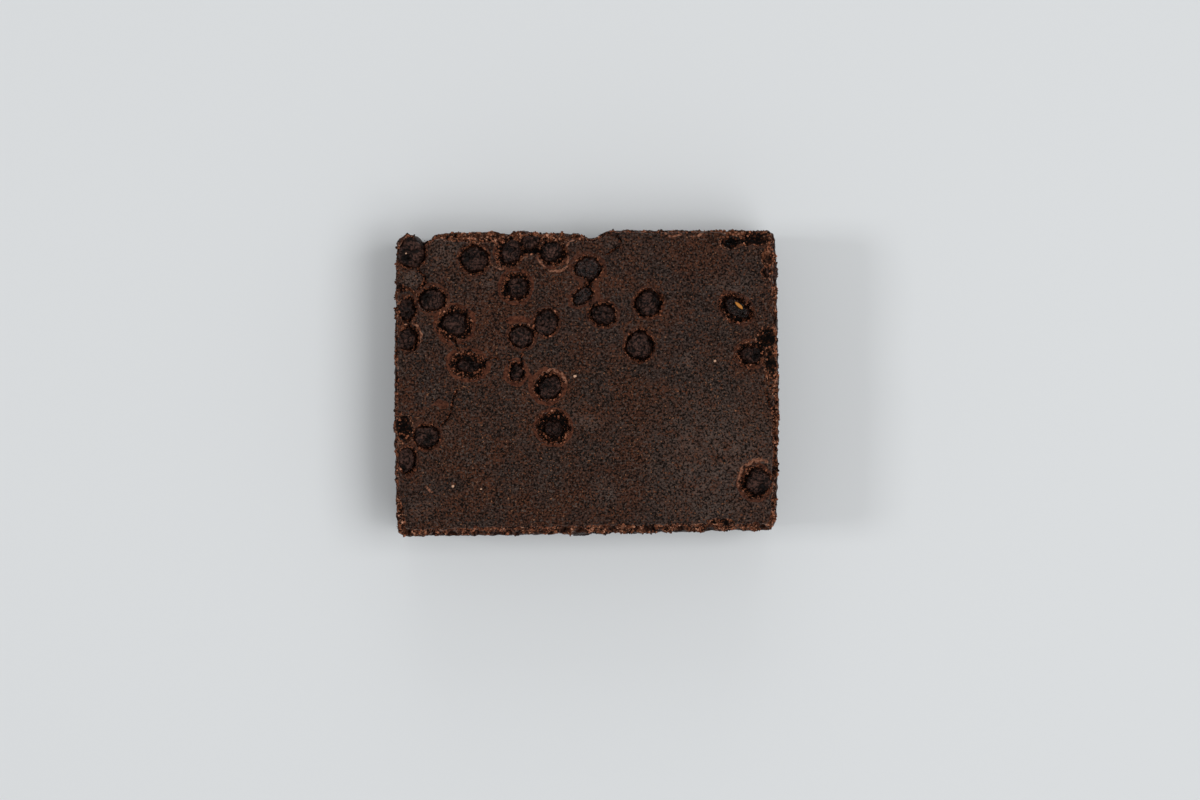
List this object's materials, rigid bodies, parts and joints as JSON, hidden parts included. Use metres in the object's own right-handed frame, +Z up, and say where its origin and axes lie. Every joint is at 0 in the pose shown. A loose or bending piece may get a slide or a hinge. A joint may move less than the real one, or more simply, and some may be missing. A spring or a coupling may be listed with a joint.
{
  "type": "chocolate brownie",
  "caption": "Rectangular knife-cut block of dense chocolate cake with a dull crust and small chocolate drops baked into pits in its top and cut sides.",
  "frame": {"origin": "centre of the bounding box of the block, on the plane that its base rests on", "axes": "+Z up, out of the baked top; X along the long side; -Y is the front, the side at the bottom of the top view"},
  "size_m": [0.0812, 0.065, 0.0252],
  "materials": {
    "cake": "matt, dark brown, dense and slightly moist crumb under a thin dull crust",
    "chocolate": "dull dark chocolate with a faint grey bloom"
  },
  "bodies": {
    "root": {"brownie": "cake", "chip_01": "chocolate", "chip_02": "chocolate", "chip_03": "chocolate", "chip_04": "chocolate", "chip_05": "chocolate", "chip_06": "chocolate", "chip_07": "chocolate", "chip_08": "chocolate", "chip_09": "chocolate", "chip_10": "chocolate", "chip_11": "chocolate", "chip_12": "chocolate", "chip_13": "chocolate", "chip_14": "chocolate", "chip_15": "chocolate", "chip_16": "chocolate", "chip_17": "chocolate", "chip_18": "chocolate", "chip_19": "chocolate", "chip_20": "chocolate", "chip_21": "chocolate", "chip_22": "chocolate", "chip_23": "chocolate", "chip_24": "chocolate", "chip_25": "chocolate", "chip_back": "chocolate", "chip_right": "chocolate", "chip_front": "chocolate"}
  },
  "joints": []
}
